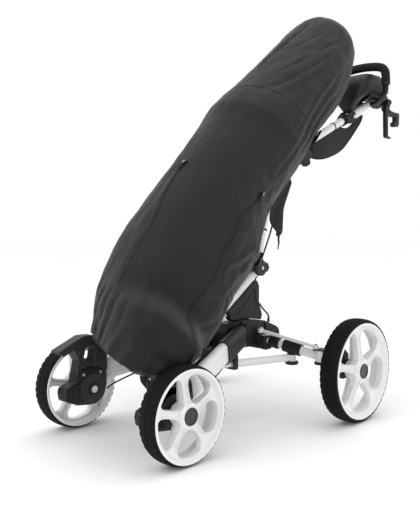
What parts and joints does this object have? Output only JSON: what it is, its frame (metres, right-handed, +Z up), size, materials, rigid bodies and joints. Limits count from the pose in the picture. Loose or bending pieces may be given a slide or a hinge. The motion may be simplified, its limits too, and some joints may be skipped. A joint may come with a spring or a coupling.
{
  "type": "golf bag on push cart",
  "caption": "Four-wheeled push cart with folding rear arms, console handle and hand brake, carrying a golf bag under a draped zip-up rain cover.",
  "frame": {"origin": "on the ground under the middle of the bounding box", "axes": "+Z up, front of the cart toward -Y, handle toward +Y, +X to the left of a person pushing it"},
  "size_m": [0.736, 1.5457, 1.3357],
  "materials": {
    "white_metal": "white powder coat",
    "black_plastic": "black glass-filled nylon, fine grain",
    "grey_plastic": "dark grey moulded plastic",
    "tyre": "moulded EVA rubber",
    "rim_white": "white moulded nylon",
    "steel": "zinc plated steel",
    "grip_rubber": "foam rubber grip",
    "cable": "rubber cable sheath",
    "cover_cloth": "charcoal nylon rain cloth",
    "flap_cloth": "black nylon webbing and mesh",
    "bag_cloth": "dark blue bag cloth",
    "club_steel": "club steel"
  },
  "bodies": {
    "frame": {"hub_housing": "black_plastic", "arm_sockets": "black_plastic", "hub_gusset": "black_plastic", "lower_main_tube": "white_metal", "fold_joint_housing": "grey_plastic", "upper_main_tube": "white_metal", "lower_bag_cradle": "black_plastic", "upper_bag_cradle": "black_plastic", "bag_rest": "black_plastic", "rear_strap_flap": "flap_cloth", "storage_net": "flap_cloth", "handle_clamp": "black_plastic", "front_arm_left": "white_metal", "front_arm_right": "white_metal", "front_bracket_left": "grey_plastic", "front_bracket_right": "grey_plastic", "front_axles": "steel", "bracket_screws": "steel", "front_cable_left": "cable", "front_cable_right": "cable", "main_brake_cable": "cable", "frame_pivot_pins": "steel"},
    "rear_arm_left": {"rear_arm_left": "white_metal", "arm_collar_left": "black_plastic"},
    "rear_link_left": {"rear_link_left": "white_metal"},
    "stay_rod_left": {"stay_rod_left": "white_metal"},
    "rear_bracket_left": {"rear_bracket_left": "black_plastic", "rear_axle_left": "steel"},
    "front_wheel_left": {"front_tyre_left": "tyre", "front_rim_left": "rim_white", "front_hub_cap_left": "black_plastic"},
    "rear_wheel_left": {"rear_tyre_left": "tyre", "rear_rim_left": "rim_white", "rear_hub_cap_left": "black_plastic"},
    "rear_arm_right": {"rear_arm_right": "white_metal", "arm_collar_right": "black_plastic"},
    "rear_link_right": {"rear_link_right": "white_metal"},
    "stay_rod_right": {"stay_rod_right": "white_metal"},
    "rear_bracket_right": {"rear_bracket_right": "black_plastic", "rear_axle_right": "steel"},
    "front_wheel_right": {"front_tyre_right": "tyre", "front_rim_right": "rim_white", "front_hub_cap_right": "black_plastic"},
    "rear_wheel_right": {"rear_tyre_right": "tyre", "rear_rim_right": "rim_white", "rear_hub_cap_right": "black_plastic"},
    "handle": {"handle_tube": "white_metal", "handle_loop_arms": "black_plastic", "handle_grip": "grip_rubber", "console_body": "grey_plastic", "accessory_hook": "black_plastic"},
    "console_lid": {"console_lid": "black_plastic"},
    "brake_lever": {"brake_lever": "black_plastic"},
    "fold_lock_knob": {"fold_lock_knob": "black_plastic"},
    "cradle_knob": {"cradle_knob": "black_plastic"},
    "bag": {"bag_body": "bag_cloth", "bag_base": "black_plastic", "bag_top_cuff": "black_plastic", "club_set": "club_steel", "rain_cover": "cover_cloth"}
  },
  "joints": [
    {"name": "rear_fold_right", "type": "hinge", "parent": "frame", "child": "rear_arm_right", "pos_m": [0.045, -0.105, 0.224], "axis": [0, 0, 1], "range_deg": [0, 60]},
    {"name": "rear_link_pivot_right", "type": "hinge", "parent": "frame", "child": "rear_link_right", "pos_m": [0.034, -0.116, 0.253], "axis": [0, 0, 1], "range_deg": [0, 60]},
    {"name": "rear_bracket_pivot_right", "type": "hinge", "parent": "rear_arm_right", "child": "rear_bracket_right", "pos_m": [0.23, -0.06, 0.187], "axis": [0, 0, 1], "range_deg": [-60, 0]},
    {"name": "stay_rod_pivot_right", "type": "hinge", "parent": "rear_arm_right", "child": "stay_rod_right", "pos_m": [0.135, -0.083, 0.174], "axis": [0, 0, 1], "range_deg": [-44, 0]},
    {"name": "front_wheel_spin_right", "type": "hinge", "parent": "frame", "child": "front_wheel_right", "pos_m": [0.229, -0.6477, 0.125], "axis": [1, 0, 0], "continuous": true},
    {"name": "rear_wheel_spin_right", "type": "hinge", "parent": "rear_bracket_right", "child": "rear_wheel_right", "pos_m": [0.337, -0.0303, 0.156], "axis": [1, 0, 0], "continuous": true},
    {"name": "rear_fold_left", "type": "hinge", "parent": "frame", "child": "rear_arm_left", "pos_m": [-0.045, -0.105, 0.224], "axis": [0, 0, 1], "range_deg": [-60, 0]},
    {"name": "rear_link_pivot_left", "type": "hinge", "parent": "frame", "child": "rear_link_left", "pos_m": [-0.034, -0.116, 0.253], "axis": [0, 0, 1], "range_deg": [-60, 0]},
    {"name": "rear_bracket_pivot_left", "type": "hinge", "parent": "rear_arm_left", "child": "rear_bracket_left", "pos_m": [-0.23, -0.06, 0.187], "axis": [0, 0, 1], "range_deg": [0, 60]},
    {"name": "stay_rod_pivot_left", "type": "hinge", "parent": "rear_arm_left", "child": "stay_rod_left", "pos_m": [-0.135, -0.083, 0.174], "axis": [0, 0, 1], "range_deg": [0, 44]},
    {"name": "front_wheel_spin_left", "type": "hinge", "parent": "frame", "child": "front_wheel_left", "pos_m": [-0.229, -0.6477, 0.125], "axis": [1, 0, 0], "continuous": true},
    {"name": "rear_wheel_spin_left", "type": "hinge", "parent": "rear_bracket_left", "child": "rear_wheel_left", "pos_m": [-0.337, -0.0303, 0.156], "axis": [1, 0, 0], "continuous": true},
    {"name": "handle_tilt", "type": "hinge", "parent": "frame", "child": "handle", "pos_m": [0, 0.449, 1.012], "axis": [1, 0, 0], "range_deg": [0, 20]},
    {"name": "console_lid_hinge", "type": "hinge", "parent": "handle", "child": "console_lid", "pos_m": [0, 0.56, 1.1793], "axis": [1, 0, 0], "range_deg": [0, 90]},
    {"name": "brake_lever_pull", "type": "hinge", "parent": "handle", "child": "brake_lever", "pos_m": [0.058, 0.639, 1.086], "axis": [1, 0, 0], "range_deg": [0, 30], "stiffness_Nm_per_rad": 0.6, "springref_deg": -5.73},
    {"name": "fold_lock_turn", "type": "hinge", "parent": "frame", "child": "fold_lock_knob", "pos_m": [0, -0.066, 0.455], "axis": [0, 1, 0], "range_deg": [0, 90]},
    {"name": "cradle_knob_turn", "type": "hinge", "parent": "frame", "child": "cradle_knob", "pos_m": [0, 0.147, 0.85], "axis": [0, 0.6559, -0.7548], "range_deg": [0, 360]},
    {"name": "bag_lift", "type": "slide", "parent": "frame", "child": "bag", "axis": [0, 0.6678, 0.7443], "range_m": [0, 0.08]}
  ],
  "couplings": [
    {"joint": "rear_link_pivot_right", "follows": "rear_fold_right", "ratio": 1},
    {"joint": "rear_bracket_pivot_right", "follows": "rear_fold_right", "ratio": -1},
    {"joint": "stay_rod_pivot_right", "follows": "rear_fold_right", "ratio": -0.71},
    {"joint": "rear_link_pivot_left", "follows": "rear_fold_right", "ratio": -1},
    {"joint": "rear_bracket_pivot_left", "follows": "rear_fold_right", "ratio": 1},
    {"joint": "stay_rod_pivot_left", "follows": "rear_fold_right", "ratio": 0.71},
    {"joint": "rear_fold_left", "follows": "rear_fold_right", "ratio": -1}
  ]
}
